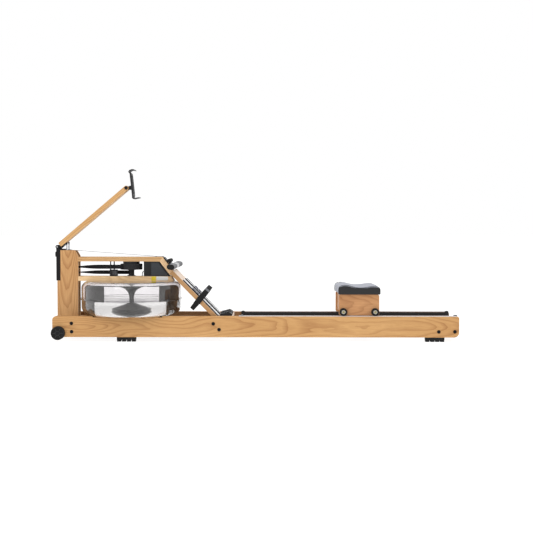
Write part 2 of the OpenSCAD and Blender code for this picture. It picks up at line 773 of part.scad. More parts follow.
seat_x0 = seat_x - seat_box_len / 2;
axle_xs = [seat_x - wheel_base / 2, seat_x + wheel_base / 2];
module seat_box()
    color(oak) difference() {
        union() {
            both() across(panel_out - panel_t, panel_out)
                round_rect(seat_x0, seat_box_z[0], seat_x0 + seat_box_len, seat_box_z[1], [9, 9, 9, 9]);
            translate([seat_x0 + 8, panel_t - panel_out - eps, 150])
                cube([14, 2 * (panel_out - panel_t + eps), seat_box_z[1] - 150]);
            translate([seat_x0 + seat_box_len - 22, panel_t - panel_out - eps, 150])
                cube([14, 2 * (panel_out - panel_t + eps), seat_box_z[1] - 150]);
            translate([seat_x0 + 21, panel_t - panel_out - eps, seat_box_z[1] - 16])
                cube([seat_box_len - 42, 2 * (panel_out - panel_t + eps), 16]);
        }
        for (x = axle_xs) rod([x, wheel_z], seat_axle_r + 0.1, -panel_out - 1, panel_out + 1);
    }

module seat_axles()
    color("goldenrod") for (x = axle_xs) {
        rod([x, wheel_z], seat_axle_r, -wheel_y[1] - 4, wheel_y[1] + 4);
        both() rod([x, wheel_z], seat_axle_r + 1.5, wheel_y[1] + 0.5, wheel_y[1] + 4);
    }

module seat_wheel(x, side)
    color("black") difference() {
        union() {
            rod([x, wheel_z], seat_wheel_r, min(side * wheel_y[0], side * wheel_y[1]),
                max(side * wheel_y[0], side * wheel_y[1]));
        }
        rod([x, wheel_z], seat_axle_r + fit, -200, 200);
        translate([0, side * (wheel_y[1] - 3), 0]) difference() {
            rod([x, wheel_z], 14, min(0, side * 4), max(0, side * 4));
            rod([x, wheel_z], 8, -5, 5);
        }
    }
module front_left_seat_wheel() seat_wheel(axle_xs[0], -1);
module front_right_seat_wheel() seat_wheel(axle_xs[0], 1);
module rear_left_seat_wheel() seat_wheel(axle_xs[1], -1);
module rear_right_seat_wheel() seat_wheel(axle_xs[1], 1);

// Height of the pad's top along its length, u from 0 at the front to 1 at the rear
function hump(u, at, wide) = exp(-pow((u - at) / wide, 2));
function pad_top(u) = pad_rise[1] + (pad_rise[0] - pad_rise[1]) * hump(u, 0.16, 0.19)
                      + (pad_rise[2] - pad_rise[1]) * hump(u, 0.84, 0.19);
module seat_pad()
    color("lightsteelblue") intersection() {
        across(-pad_w / 2, pad_w / 2) polygon(concat(
            [[seat_x + pad_len / 2 - 4, seat_box_z[1]], [seat_x + pad_len / 2, seat_box_z[1] + 16]],
            [for (i = [20:-1:0]) [seat_x - pad_len / 2 + 5 + (pad_len - 10) * i / 20,
                                  seat_box_z[1] + pad_top(i / 20)]],
            [[seat_x - pad_len / 2, seat_box_z[1] + 16], [seat_x - pad_len / 2 + 4, seat_box_z[1]]]));
        translate([0, 0, seat_box_z[1] - 1]) linear_extrude(80)
            round_rect(seat_x - pad_len / 2 - 1, -pad_w / 2, seat_x + pad_len / 2 + 1, pad_w / 2,
                       [14, 14, 14, 14]);
    }

// ---- transport wheels ----

module transport_wheel()
    color("black") difference() {
        rod(transport, transport_r, rail_out + 0.8, rail_out + transport_w);
        rod(transport, transport_axle_r + fit, 0, 250);
        difference() {
            rod(transport, transport_r - 7, rail_out + transport_w - 3, rail_out + transport_w + 1);
            rod(transport, 13, rail_out, rail_out + transport_w + 2);
        }
    }
module right_transport_wheel() transport_wheel();
module left_transport_wheel() mirror([0, 1, 0]) transport_wheel();

left_rail();
right_rail();
running_strips();
seat_tracks();
track_stops();
front_posts();
top_rails();
mid_rails();
slope_boards();
cross_boards();
footboard();
footboard_cleat();
heel_shelf();
frame_bolts();
rubber_feet();
axle_pins();
tank_lower_shell();
tank_upper_shell();
tank_seal_ring();
tank_fill_plug();
shaft_bearings();
clutch_housing();
strap_guide();
drive_strap();
recoil_strap();
bungee_cord();
pull_strap();
window_cover();
console();
sensor_lead();
handle_rest();
foot_plates();
foot_straps();
strap_buckles();
arm_bracket();
arm_stops();
strap_drum();
front_pulley();
recoil_pulley();
rotor();
rotor_shaft();
left_transport_wheel();
right_transport_wheel();
handle_bar();
handle_grips();
left_heel_cup();
right_heel_cup();
tablet_arm();
arm_hinge();
holder_bolt();
holder_block();
holder_plate();
holder_jaw();
seat_box();
seat_pad();
seat_axles();
front_left_seat_wheel();
front_right_seat_wheel();
rear_left_seat_wheel();
rear_right_seat_wheel();
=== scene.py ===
"""Looks of a water-resistance rowing machine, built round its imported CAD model.

X runs along the rails from the tank (-X) to the rear end, Y is across and Z is up.
Shapes are written in millimetres and stored in metres.
"""

import math

import bpy
import numpy as np
from mathutils import Matrix, Vector


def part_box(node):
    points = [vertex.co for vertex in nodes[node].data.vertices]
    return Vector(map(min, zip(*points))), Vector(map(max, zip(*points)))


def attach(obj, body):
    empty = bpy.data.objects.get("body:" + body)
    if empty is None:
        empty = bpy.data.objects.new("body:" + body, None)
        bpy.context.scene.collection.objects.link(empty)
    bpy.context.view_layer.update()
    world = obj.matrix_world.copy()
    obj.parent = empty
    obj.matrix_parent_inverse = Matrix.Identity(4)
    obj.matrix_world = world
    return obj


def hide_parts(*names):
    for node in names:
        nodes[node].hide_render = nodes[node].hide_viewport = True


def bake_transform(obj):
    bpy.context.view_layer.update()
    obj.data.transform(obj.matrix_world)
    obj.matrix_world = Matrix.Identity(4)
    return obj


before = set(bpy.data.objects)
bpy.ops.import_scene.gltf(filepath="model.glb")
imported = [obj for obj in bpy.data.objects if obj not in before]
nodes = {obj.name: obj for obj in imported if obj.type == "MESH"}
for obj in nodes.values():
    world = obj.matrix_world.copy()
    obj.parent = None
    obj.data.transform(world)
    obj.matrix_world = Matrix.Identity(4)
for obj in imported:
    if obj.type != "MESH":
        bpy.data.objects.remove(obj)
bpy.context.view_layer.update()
scene = bpy.context.scene

MM = 0.001
LEFT, RIGHT = -1, 1                     # the rower's left is -Y, the side the camera sees

# ---------------------------------------------------------------- camera

camera_data = bpy.data.cameras.new("camera")
camera_data.sensor_width = 36
camera_data.lens = 64.46
camera = bpy.data.objects.new("camera", camera_data)
camera.location = (0.0614, -5.055, 0.587)
camera.rotation_euler = (math.radians(87.68), math.radians(-0.08), 0)
scene.collection.objects.link(camera)
scene.camera = camera
scene.view_settings.view_transform = "Standard"

# ---------------------------------------------------------------- materials


def rgb(r, g, b):
    """An sRGB colour, 0 to 255, as the linear colour that the nodes take."""
    return tuple(c / 12.92 if c <= 0.04045 else ((c + 0.055) / 1.055) ** 2.4
                 for c in (r / 255, g / 255, b / 255)) + (1.0,)


class Graph:
    """A material's node tree, with short ways to add what the materials here share."""

    def __init__(self, name, rough=0.5, metallic=0.0, specular=0.5):
        self.material = bpy.data.materials.new(name)
        self.material.use_nodes = True
        self.tree = self.material.node_tree
        self.shader = self.tree.nodes["Principled BSDF"]
        self.set(**{"Roughness": rough, "Metallic": metallic, "Specular IOR Level": specular})

    def set(self, **values):
        for name, value in values.items():
            self.shader.inputs[name].default_value = value

    def link(self, value, socket):
        if isinstance(value, bpy.types.NodeSocket):
            self.tree.links.new(value, socket)
        else:
            socket.default_value = value

    def add(self, kind, inputs=(), **attributes):
        node = self.tree.nodes.new("ShaderNode" + kind)
        for name, value in attributes.items():
            setattr(node, name, value)
        for key, value in dict(inputs).items():
            self.link(value, node.inputs[key])
        return node

    def place(self, scale=(1, 1, 1), turn=(0, 0, 0), source="Object", shift=(0, 0, 0)):
        """Coordinates turned, then scaled to so many cycles a metre."""
        point = self.add("TexCoord").outputs[source]
        if any(turn) or any(shift):
            point = self.add("Mapping", {"Vector": point, "Rotation": [math.radians(a) for a in turn],
                                         "Location": shift}).outputs[0]
        return self.add("Mapping", {"Vector": point, "Scale": scale}, vector_type="POINT").outputs[0]

    def noise(self, point, scale=1.0, detail=4.0, rough=0.55, colour=False):
        node = self.add("TexNoise", {"Vector": point, "Scale": scale, "Detail": detail,
                                     "Roughness": rough})
        return node.outputs["Color" if colour else "Fac"]

    def math(self, operation, a, b=0.0, c=0.0, clamp=False):
        node = self.add("Math", operation=operation, use_clamp=clamp)
        for value, socket in zip((a, b, c), node.inputs):
            self.link(value, socket)
        return node.outputs[0]

    def vector(self, operation, a, b=(0, 0, 0)):
        node = self.add("VectorMath", operation=operation)
        self.link(a, node.inputs[0])
        self.link(b, node.inputs[1])
        return node.outputs["Vector"]

    def split(self, point):
        return self.add("SeparateXYZ", {"Vector": point}).outputs

    def ramp(self, value, *stops):
        """Colour or grey that follows value; a stop is (position, colour)."""
        node = self.add("ValToRGB", {"Fac": value})
        elements = node.color_ramp.elements
        while len(elements) < len(stops):
            elements.new(0.5)
        for element, (position, colour) in zip(elements, stops):
            element.position = position
            element.color = colour if isinstance(colour, tuple) else (colour,) * 3 + (1,)
        return node.outputs["Color"]

    def mix(self, factor, a, b, blend="MIX"):
        node = self.add("Mix", data_type="RGBA", blend_type=blend)
        for value, socket in zip((factor, a, b), (node.inputs[0], node.inputs[6], node.inputs[7])):
            self.link(value, socket)
        return node.outputs[2]

    def within(self, value, low, high):
        """1 where value lies between low and high, and 0 elsewhere."""
        return self.math("MULTIPLY", self.math("GREATER_THAN", value, low),
                         self.math("LESS_THAN", value, high))

    def finish(self, colour=None, rough=None, height=None, strength=0.3, depth=0.0005):
        if colour is not None:
            self.link(colour, self.shader.inputs["Base Color"])
        if rough is not None:
            self.link(rough, self.shader.inputs["Roughness"])
        if height is not None:
            bump = self.add("Bump", {"Height": height, "Strength": strength, "Distance": depth})
            self.tree.links.new(bump.outputs[0], self.shader.inputs["Normal"])
        return self.material


def moulded(name, low, high, rough=0.5, spread=0.12, grain=1400, relief=0.18, specular=0.3,
            metallic=0.0, stretch=(1, 1, 1), wear=9, mask=None, other=None):
    """Moulded, painted or machined stuff: a fine grain over slow changes of tone.

    mask(graph) gives 1 where the colour is other, a pair of colours, instead.
    """
    g = Graph(name, metallic=metallic, specular=specular)
    slow = g.noise(g.place((wear,) * 3), detail=3)
    fine = g.noise(g.place([grain * s for s in stretch]), detail=2)
    blend = g.ramp(slow, (0.3, 0.0), (0.7, 1.0))
    colour = g.mix(blend, low, high)
    if mask:
        colour = g.mix(mask(g), colour, g.mix(blend, *other))
    colour = g.mix(g.math("MULTIPLY", fine, 0.25), colour, rgb(0, 0, 0))
    wet = g.math("MULTIPLY_ADD", g.math("ADD", slow, fine), spread, rough - spread)
    return g.finish(colour, wet, fine, relief, 0.0003)


def wood(name, turn=(0, 0, 0), heart=(0.0, 0.05), light=rgb(214, 168, 110), mid=rgb(198, 150, 93),
         dark=rgb(154, 102, 56), ring=0.0085, face_and_shade_mask=None, tilt=0.035, seed=0.0, bold=0.8,
         face_and_shade_tone=rgb(243, 220, 186), sway=0.11):
    """Plain-sawn oak. turn brings the grain onto X; heart is the trunk's axis in the turned Y and Z.

    The growth rings are tubes round a wandering axis, so a flat board cuts them into arches.
    """
    g = Graph(name, specular=0.35)
    point = g.place(turn=turn)
    drift = g.noise(g.place((1.5, 4.5, 4.5), turn, shift=(seed, 0, 0)), detail=2, colour=True)
    small = g.noise(g.place((5, 22, 22), turn, shift=(seed, 0, 0)), detail=2, colour=True)
    shift = g.vector("MULTIPLY", g.vector("SUBTRACT", drift, (0.5, 0.5, 0.5)), (0, sway, 0.7 * sway))
    jitter = g.vector("MULTIPLY", g.vector("SUBTRACT", small, (0.5, 0.5, 0.5)), (0, 0.012, 0.012))
    x, y, z = g.split(g.vector("ADD", g.vector("ADD", point, shift), jitter))[:3]
    away = g.math("SUBTRACT", g.math("ABSOLUTE", y), heart[0])
    away = g.math("MULTIPLY_ADD", x, tilt, away)
    up = g.math("SUBTRACT", z, heart[1])
    radius = g.math("SQRT", g.math("ADD", g.math("MULTIPLY", away, away),
                                   g.math("MULTIPLY", up, up)))
    rings = g.math("FRACT", g.math("DIVIDE", radius, ring))
    growth = g.ramp(rings, (0.0, 0.15), (0.45, 0.0), (0.86, 0.75), (0.95, 1.0), (1.0, 0.2))
    patches = g.noise(g.place((2.2, 9, 9), turn, shift=(seed + 3, 0, 0)), detail=3)
    strength = g.ramp(patches, (0.32, 0.4 * bold), (0.7, bold))
    fibre = g.noise(g.place((9, 420, 420), turn), detail=3, rough=0.7)
    pores = g.noise(g.place((28, 1500, 1500), turn), detail=1)
    pores = g.ramp(pores, (0.60, 0.0), (0.70, 1.0))
    colour = g.mix(g.ramp(patches, (0.3, 0.0), (0.75, 1.0)), light, mid)
    colour = g.mix(g.math("MULTIPLY", growth, strength), colour, dark)
    colour = g.mix(g.ramp(fibre, (0.35, 0.30), (0.65, 0.0)), colour, dark)
    colour = g.mix(g.math("MULTIPLY", pores, 0.35), colour, dark)
    # a second tone over part of the wood: paler bare and cut faces, and painted shade on the rails'
    # inner faces
    if face_and_shade_mask:
        colour = g.mix(face_and_shade_mask(g, point), colour, g.mix(0.25, face_and_shade_tone, colour))
    rough = g.math("MULTIPLY_ADD", fibre, 0.25, 0.38)
    height = g.math("SUBTRACT", fibre, g.math("MULTIPLY", pores, 0.8))
    return g.finish(colour, rough, height, 0.06, 0.0002)


def webbing(name, low, high, pitch=0.0016, rough=0.75, specular=0.2):
    """Woven strap: a chevron weave that follows the strap's own length and width (its UV map)."""
    g = Graph(name, specular=specular)
    u, v = g.split(g.add("TexCoord").outputs["UV"])[:2]
    turn = 2 * math.pi / pitch
    across = g.math("SINE", g.math("MULTIPLY", u, turn))
    fold = g.math("PINGPONG", u, 0.0055)
    along = g.math("SINE", g.math("MULTIPLY", g.math("ADD", v, fold), turn * 0.55))
    thread = g.math("MULTIPLY_ADD", g.math("MULTIPLY", across, along), 0.5, 0.5)
    fuzz = g.noise(g.place((700, 700, 700)), detail=3)
    colour = g.mix(g.math("MULTIPLY", thread, g.math("ADD", fuzz, 0.35)), low, high)
    height = g.math("ADD", thread, g.math("MULTIPLY", fuzz, 0.4))
    return g.finish(colour, g.math("MULTIPLY_ADD", fuzz, 0.2, rough - 0.1), height, 0.5, 0.0006)


def clear(name, tint, ior, rough=0.02, ripple=(14, 0.06), edge=None):
    """Clear moulding or water: refracts, with a faint unevenness; edge is a brownish colour where it is
    seen edge-on, a painted reflection of the wood round it.
    """
    g = Graph(name, rough=rough)
    g.set(**{"Base Color": tint, "IOR": ior, "Transmission Weight": 1.0})
    height = g.noise(g.place((ripple[0],) * 3), detail=1)
    facing = g.add("LayerWeight", {"Blend": 0.5}).outputs["Facing"]
    colour = g.ramp(facing, (0.7, tint), (0.97, edge)) if edge else None
    return g.finish(colour, height=height, strength=ripple[1], depth=0.002)


PLATE_BRIGHT = (0.0148, 0.0968)         # |y| in metres between a foot plate's black rims


def rims(g):
    """The black edge strips of the foot plates."""
    side = g.math("ABSOLUTE", g.split(g.place())[1])
    return g.math("ADD", g.within(side, 0.0, PLATE_BRIGHT[0]), g.within(side, PLATE_BRIGHT[1], 0.2))


def plain_axis(axis, low, high):
    """A mask between two planes; axis 1 counts from the machine's middle to either side."""
    def mask(g):
        value = g.split(g.place())[axis]
        return g.within(g.math("ABSOLUTE", value) if axis == 1 else value, low, high)
    return mask


def in_turned_axes(point, degrees):
    """x and z in metres, in axes turned about Y as wood's turn does, of a point in mm."""
    a = math.radians(degrees)
    x, z = point[0] * MM, point[1] * MM
    return x * math.cos(a) + z * math.sin(a), z * math.cos(a) - x * math.sin(a)


# slopes in degrees, and points they start from, as (x, z) in mm
FOOT_ANGLE, FOOT_START = 45.6, (-191, 127)
SLOPE_ANGLE, SLOPE_START = 52.0, (-485, 433)
ARM_ANGLE, ARM_PIN = 40.4, (-1040, 485.5)
FOOT_FACE = in_turned_axes(FOOT_START, -FOOT_ANGLE)[1]    # height of the footboard's face

black = moulded("black_plastic", rgb(24, 24, 25), rgb(34, 34, 36), rough=0.5)
metal_black = moulded("powder_coat", rgb(9, 9, 10), rgb(15, 14, 17), rough=0.5, grain=2200,
                      relief=0.3, specular=0.22)
rubber = moulded("rubber", rgb(24, 24, 24), rgb(38, 38, 38), rough=0.8, grain=900, relief=0.4,
                 specular=0.2)
steel = moulded("brushed_steel", rgb(176, 178, 180), rgb(206, 207, 210), rough=0.32, metallic=1.0,
                stretch=(1, 0.05, 1), specular=0.5)
axle_steel = moulded("axle_steel", rgb(168, 170, 172), rgb(198, 199, 202), rough=0.34, metallic=0.9,
                     mask=plain_axis(1, 0.15, 0.3), other=(rgb(30, 30, 32), rgb(44, 44, 46)))
brass = moulded("brass", rgb(150, 138, 92), rgb(176, 162, 110), rough=0.36, metallic=0.9,
                specular=0.5)
grey_plastic = moulded("pulley_plastic", rgb(108, 110, 112), rgb(128, 130, 132), rough=0.5)
rotor_plastic = moulded("rotor_plastic", rgb(92, 92, 90), rgb(104, 104, 101), rough=0.42,
                        grain=120, stretch=(6, 6, 0.1), relief=0.25, spread=0.06)
strip_plastic = moulded("strip_plastic", rgb(205, 204, 208), rgb(222, 221, 224), rough=0.4,
                        stretch=(0.02, 1, 1), grain=1800)
cream = moulded("hub_plastic", rgb(196, 194, 182), rgb(212, 209, 198), rough=0.45)
# the shell's edge-on rims get a brownish painted reflection
shell = clear("clear_shell", rgb(242, 240, 241), 1.46, edge=rgb(120, 104, 94))
water = clear("water", rgb(247, 249, 246), 1.33, rough=0.0, ripple=(20, 0.03))

RAIL_HEART = (0.078, 0.074)
RAIL_PAINTED_SHADE_Y = 0.1285                    # |y| in metres below which a rail's inner face gets painted shade


def rail_inside_painted_shade(g, point):
    """The inner faces of the rails, darkened with painted shade: a dark brown mixed into the oak."""
    return g.math("LESS_THAN", g.math("ABSOLUTE", g.split(point)[1]), RAIL_PAINTED_SHADE_Y)


# the rails' inner faces get painted shade, a dark brown tone mixed into the oak
oak_rail = wood("oak_along", heart=RAIL_HEART, face_and_shade_mask=rail_inside_painted_shade, face_and_shade_tone=rgb(96, 62, 36))
oak_top = wood("oak_top", heart=(-0.06, 0.36), tilt=0.03, seed=1.7, light=rgb(222, 182, 130),
               mid=rgb(208, 164, 110))
oak_post = wood("oak_post", turn=(0, 90, 0), heart=(-0.035, 0.985), tilt=-0.055, ring=0.0062,
                light=rgb(214, 168, 114), mid=rgb(196, 148, 94), seed=4.2, bold=0.9, sway=0.05)
oak_slope = wood("oak_slope", turn=(0, -SLOPE_ANGLE, 0), heart=(-0.03, 0.1), seed=2.6,
                 light=rgb(246, 212, 168), mid=rgb(234, 196, 147), dark=rgb(194, 146, 99), bold=0.6)
# mid rails: the oak is painted lighter than the rails' own, painted light against the shade they sit in
oak_mid_painted_light = wood("oak_middle_painted_light", heart=(-0.06, 0.30), tilt=0.03, seed=8.3, light=rgb(250, 216, 168),
               mid=rgb(240, 202, 150), bold=0.6)
oak_cross = wood("oak_across", turn=(0, 0, -90), heart=(0.5, 0.02), seed=3.1,
                 light=rgb(186, 140, 88), mid=rgb(168, 122, 72))


# the finger notch's cut face, in metres from the arm's pin: along the arm, across it and up
NOTCH_X, NOTCH_HALF_WIDTH, NOTCH_Z = (0.1795, 0.2525), 0.0242, (-0.0118, -0.0055)


def arm_notch(g, point):
    """The cut faces of the finger notch, which are paler."""
    x, y, z = g.split(point)[:3]
    inside = g.math("LESS_THAN", g.math("ABSOLUTE", y), NOTCH_HALF_WIDTH)
    start, level = in_turned_axes(ARM_PIN, ARM_ANGLE)
    span = g.math("MULTIPLY", g.within(x, start + NOTCH_X[0], start + NOTCH_X[1]), inside)
    return g.math("MULTIPLY", span, g.within(z, level + NOTCH_Z[0], level + NOTCH_Z[1]))


oak_arm = wood("oak_arm", turn=(0, ARM_ANGLE, 0), heart=(-0.05, 0.95), seed=5.5, face_and_shade_mask=arm_notch,
               light=rgb(222, 178, 118), mid=rgb(208, 162, 104))
oak_seat = wood("oak_seat", heart=(0.02, 0.19), seed=6.4, light=rgb(208, 156, 106),
                mid=rgb(190, 136, 88), dark=rgb(150, 98, 58), tilt=0.09, ring=0.0062, bold=0.8,
                sway=0.025)


def board_face(g, point):
    """The face of the footboard, which is bare and paler than its edges."""
    return g.math("GREATER_THAN", g.split(point)[2], FOOT_FACE - 0.0006)


ash = wood("pale_wood", turn=(0, -FOOT_ANGLE, 0), heart=(0.02, 0.1), light=rgb(194, 152, 106),
           mid=rgb(180, 136, 86), dark=rgb(150, 106, 62), seed=7.7, bold=0.5, face_and_shade_mask=board_face,
           face_and_shade_tone=rgb(230, 213, 198))

plate_silver = moulded("foot_plate", rgb(240, 241, 244), rgb(250, 250, 252), rough=0.34,
                       stretch=(0.06, 1, 0.06), grain=1500, mask=rims, relief=0.08,
                       other=(rgb(6, 6, 7), rgb(12, 12, 13)))
# near-black cover; the grey band on its panel face, |y| 28 to 29.4 mm, is painted reflection of a
# glossy face
window_painted_reflection = moulded("window_cover", rgb(22, 23, 25), rgb(28, 29, 31), rough=0.42,
                 mask=plain_axis(1, 0.0280, 0.0294), other=(rgb(56, 59, 63), rgb(64, 67, 71)))
buckle_metal = moulded("buckle_metal", rgb(126, 126, 138), rgb(166, 166, 176), rough=0.4, metallic=0.5)
stop_pins = moulded("stop_pins", rgb(150, 151, 154), rgb(182, 183, 186), rough=0.35, metallic=0.6,
                    mask=plain_axis(2, 0.496, 0.6), other=(rgb(24, 24, 26), rgb(34, 34, 36)))
black_web = webbing("black_webbing", rgb(12, 12, 13), rgb(34, 34, 36))
pale_web = webbing("pale_webbing", rgb(136, 138, 142), rgb(180, 182, 186))
foam = moulded("grip_foam", rgb(116, 117, 120), rgb(142, 143, 146), rough=0.85, grain=1100, relief=0.7,
               specular=0.15, spread=0.1)

CAD_MATERIALS = {
    oak_rail: ["left_rail", "right_rail"],
    oak_top: ["top_rails"],
    oak_mid_painted_light: ["mid_rails"],
    oak_post: ["front_posts"],
    oak_slope: ["slope_boards"],
    oak_cross: ["cross_boards", "footboard_cleat"],
    oak_arm: ["tablet_arm"],
    oak_seat: ["seat_box"],
    ash: ["footboard", "heel_shelf"],
    strip_plastic: ["running_strips"],
    black: ["seat_tracks", "track_stops", "clutch_housing", "strap_guide", "console", "strap_drum",
            "left_heel_cup", "right_heel_cup", "holder_block", "holder_plate", "holder_jaw",
            "tank_fill_plug", "shaft_bearings"],
    window_painted_reflection: ["window_cover"],
    metal_black: ["frame_bolts", "arm_bracket", "arm_hinge", "holder_bolt"],
    rubber: ["rubber_feet", "left_transport_wheel", "right_transport_wheel", "tank_seal_ring",
             "handle_rest", "front_left_seat_wheel", "front_right_seat_wheel",
             "rear_left_seat_wheel", "rear_right_seat_wheel"],
    steel: ["rotor_shaft", "handle_bar"],
    axle_steel: ["axle_pins"],
    buckle_metal: ["strap_buckles"],
    stop_pins: ["arm_stops"],
    brass: ["seat_axles"],
    shell: ["tank_lower_shell", "tank_upper_shell"],
    rotor_plastic: ["rotor"],
    grey_plastic: ["front_pulley", "recoil_pulley"],
    plate_silver: ["foot_plates"],
    black_web: ["drive_strap", "recoil_strap", "foot_straps"],
    pale_web: ["pull_strap"],
    foam: ["handle_grips"],
}
for material, names in CAD_MATERIALS.items():
    for name in names:
        nodes[name].data.materials.clear()
        nodes[name].data.materials.append(material)

# ---------------------------------------------------------------- shapes


def turned_y(origin, degrees):
    """Local frame at origin (x, z in mm) turned about Y, as the CAD's rotate([0, degrees, 0])."""
    turn = Matrix.Rotation(math.radians(degrees), 4, "Y")
    return Matrix.Translation((origin[0], 0, origin[1])) @ turn


ON_FOOT = turned_y(FOOT_START, FOOT_ANGLE)
ON_SLOPE = turned_y(SLOPE_START, SLOPE_ANGLE)
ON_ARM = turned_y(ARM_PIN, -ARM_ANGLE)
HOLDER_BOLT = ON_ARM @ Vector((478, 0, 0))
ON_PLATE = turned_y((HOLDER_BOLT.x, HOLDER_BOLT.z), -6)
TANK_AXIS = Matrix.Translation((-654, 0, 0))


def at_side(x, z, side):
    """Local frame whose Z axis points outwards on that side, its origin at (x, 0, z)."""
    return Matrix.Translation((x, 0, z)) @ Matrix.Rotation(math.radians(-90 * side), 4, "X")


class Shape:
    """Collects swept skins, in millimetres, for one piece."""

    def __init__(self):
        self.points, self.faces, self.uvs = [], [], []

    def skin(self, rings, place=Matrix.Identity(4), closed=True, caps=True, lengths=None, loop=False):
        """Skins a list of rings of points. UV: metres round the ring, then metres along."""
        base, n = len(self.points), len(rings[0])
        self.points += [place @ Vector(p) for ring in rings for p in ring]
        first = [Vector(p) for p in rings[0]]
        girth = [0.0]
        for i in range(n):
            girth.append(girth[-1] + (first[(i + 1) % n] - first[i]).length * MM)
        if lengths is None:
            lengths = [0.0]
            for a, b in zip(rings, rings[1:]):
                lengths.append(lengths[-1] + (Vector(b[0]) - Vector(a[0])).length * MM)
        across = n if closed else n - 1
        count = len(rings)
        for i in range(count if loop else count - 1):
            j = (i + 1) % count
            for k in range(across):
                m = (k + 1) % n
                self.faces.append([base + i * n + k, base + i * n + m,
                                   base + j * n + m, base + j * n + k])
                self.uvs.append([(girth[k], lengths[i]), (girth[k + 1], lengths[i]),
                                 (girth[k + 1], lengths[j]), (girth[k], lengths[j])])
        if caps and closed and not loop:
            for ring, order in ((0, reversed(range(n))), (count - 1, range(n))):
                corners = [base + ring * n + k for k in order]
                self.faces.append(corners)
                self.uvs.append([(0.0, 0.0)] * n)
        return self

    def lathe(self, profile, place, n=40, loop=False):
        """Turns (radius, height) points about the place's Z axis."""
        rings = [[(r * math.cos(a), r * math.sin(a), h)
                  for a in (2 * math.pi * k / n for k in range(n))] for r, h in profile]
        return self.skin(rings, place, loop=loop)

    def block(self, low, high, radius, place=Matrix.Identity(4)):
        """A box with rounded upright edges and softened rims, along the place's Z axis."""
        rings = []
        soft = min(radius, (high[2] - low[2]) / 2.2)
        steps = [(1.0, 0.0), (0.3, 0.3), (0.0, 1.0)]
        levels = [(s * soft, low[2] + t * soft) for s, t in steps]
        levels += [(s * soft, high[2] - t * soft) for s, t in reversed(steps)]
        for inset, z in levels:
            ring = []
            for cx, cy, start in ((high[0], high[1], 0), (low[0], high[1], 90), (low[0], low[1], 180),
                                  (high[0], low[1], 270)):
                sx, sy = (1 if cx == high[0] else -1), (1 if cy == high[1] else -1)
                for step in range(4):
                    a = math.radians(start + 30 * step)
                    r = radius - inset * 0.6
                    ring.append((cx - sx * (radius + inset * 0.4) + r * math.cos(a),
                                 cy - sy * (radius + inset * 0.4) + r * math.sin(a), z))
            rings.append(ring)
        return self.skin(rings, place)

    def done(self, name, material, slot, body=None, sharp=35, replaces=()):
        mesh = bpy.data.meshes.new(name)
        mesh.from_pydata([p * MM for p in self.points], [], self.faces)
        layer = mesh.uv_layers.new(name="UVMap")
        layer.data.foreach_set("uv", np.array([c for f in self.uvs for uv in f for c in uv], float))
        return keep(name, mesh, material, body, sharp, replaces)


def keep(name, mesh, material, body=None, sharp=35, replaces=()):
    """Makes a piece of the object from a mesh in metres."""
    piece = bpy.data.objects.new(name, mesh)
    scene.collection.objects.link(piece)
    mesh.materials.append(material)
    mesh.validate()
    mesh.shade_smooth()
    mesh.set_sharp_from_angle(angle=math.radians(sharp))
    if body:
        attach(piece, body)
    if replaces:
        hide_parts(*replaces)
    return piece


def ribbon_rings(path, wide, width, thick):
    """Rings of a webbing strap with full selvedges. wide is the across direction at each point."""
    path = [Vector(p) for p in path]
    widths = width if isinstance(width, list) else [width] * len(path)
    rings = []
    section = [(-0.5, -0.35), (-0.485, -0.5), (-0.44, -0.42), (0, -0.5), (0.44, -0.42), (0.485, -0.5),
               (0.5, -0.35), (0.5, 0.35), (0.485, 0.5), (0.44, 0.42), (0, 0.5), (-0.44, 0.42),
               (-0.485, 0.5), (-0.5, 0.35)]
    for i, p in enumerate(path):
        along = (path[min(i + 1, len(path) - 1)] - path[max(i - 1, 0)]).normalized()
        side = Vector(wide[i]).normalized()
        out = side.cross(along).normalized()
        rings.append([p + side * (a * widths[i]) + out * (b * thick) for a, b in section])
    return rings


def lengths_of(path):
    """Distance along a path at each of its points, in metres."""
    total = [0.0]
    for a, b in zip(path, path[1:]):
        total.append(total[-1] + (Vector(b) - Vector(a)).length * MM)
    return total


def arc(centre, radius, start, end, steps, y=0.0):
    """Points of an arc in the XZ plane, in degrees from +X towards +Z."""
    return [(centre[0] + radius * math.cos(math.radians(start + (end - start) * i / steps)), y,
             centre[1] + radius * math.sin(math.radians(start + (end - start) * i / steps)))
            for i in range(steps + 1)]


# ---------------------------------------------------------------- cords


def cord_piece(name, path, diameter, material, node):
    curve = bpy.data.curves.new(name, "CURVE")
    curve.dimensions = "3D"
    curve.bevel_depth = diameter / 2 * MM
    curve.bevel_resolution = 4
    curve.use_fill_caps = True
    spline = curve.splines.new("POLY")
    spline.points.add(len(path) - 1)
    for point, p in zip(spline.points, path):
        point.co = (*(Vector(p) * MM), 1)
    curve.materials.append(material)
    piece = bpy.data.objects.new(name, curve)
    scene.collection.objects.link(piece)
    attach(piece, "frame")
    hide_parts(node)
    Vector(path[0]) * MM
    lengths_of(path)[-1]


def braid(name):
    """Braided sleeve of the recoil cord: crossing threads with a light fleck."""
    g = Graph(name, specular=0.2)
    point = g.place((420, 420, 420))
    wave = g.add("TexWave", {"Vector": point, "Scale": 1.0, "Distortion": 0.5},
                 bands_direction="DIAGONAL")
    flecks = g.noise(g.place((260, 260, 260)), detail=1)
    colour = g.mix(wave.outputs["Fac"], rgb(20, 20, 21), rgb(44, 44, 46))
    colour = g.mix(g.ramp(flecks, (0.64, 0.0), (0.7, 0.6)), colour, rgb(150, 150, 152))
    return g.finish(colour, g.math("MULTIPLY_ADD", flecks, 0.2, 0.6), wave.outputs["Fac"], 0.5, 0.0006)


